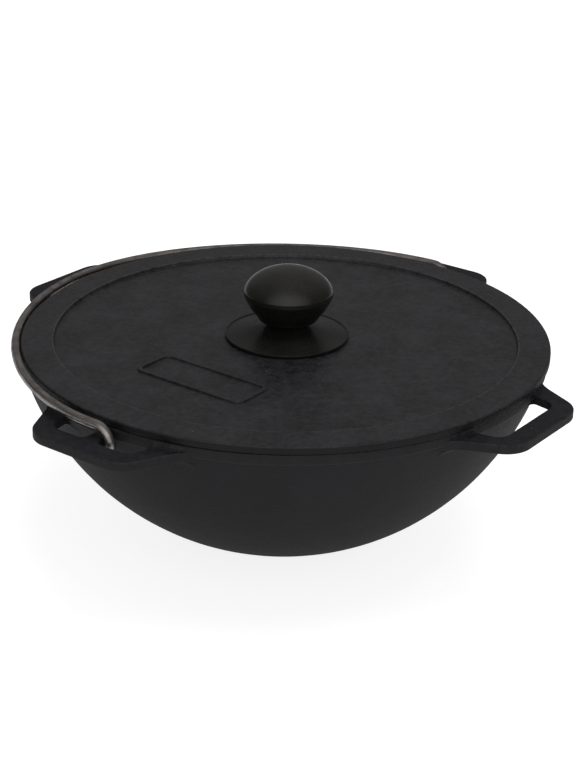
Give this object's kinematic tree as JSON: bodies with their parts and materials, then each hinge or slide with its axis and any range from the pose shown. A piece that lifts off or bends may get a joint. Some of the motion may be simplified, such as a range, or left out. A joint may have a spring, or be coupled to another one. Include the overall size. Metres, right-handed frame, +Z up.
{
  "type": "cast iron cauldron",
  "caption": "Round-bottomed cast iron cauldron with slotted side ears, a flat recessed-panel lid with a glossy knob, and a steel wire bail hooked into two ears.",
  "frame": {"origin": "under the middle of the flat foot, on the plane that the cauldron stands on", "axes": "+Z up along the bowl's axis, X through the two bail ears, Y through the two plain ears"},
  "size_m": [0.4186, 0.4186, 0.1915],
  "materials": {
    "pot_iron": "seasoned black cast iron, finely pebbled, satin",
    "lid_iron": "seasoned black cast iron, finely pebbled, satin",
    "knob_phenolic": "glossy black phenolic moulding",
    "skirt_phenolic": "glossy black phenolic moulding",
    "insert_brass": "turned brass",
    "screw_steel": "zinc plated",
    "bail_steel": "drawn steel wire, dull, slightly darkened"
  },
  "bodies": {
    "pot": {"cauldron_body": "pot_iron"},
    "lid": {"lid": "lid_iron", "knob_skirt": "skirt_phenolic", "knob_head": "knob_phenolic", "knob_insert": "insert_brass", "knob_screw": "screw_steel", "knob_washer": "screw_steel"},
    "bail": {"bail_handle": "bail_steel"}
  },
  "joints": [
    {"name": "lid_lift", "type": "slide", "parent": "pot", "child": "lid", "axis": [0, 0, 1], "range_m": [0, 0.15]},
    {"name": "bail_swing", "type": "hinge", "parent": "pot", "child": "bail", "pos_m": [0, 0, 0.1313], "axis": [1, 0, 0], "range_deg": [0, 150]}
  ]
}
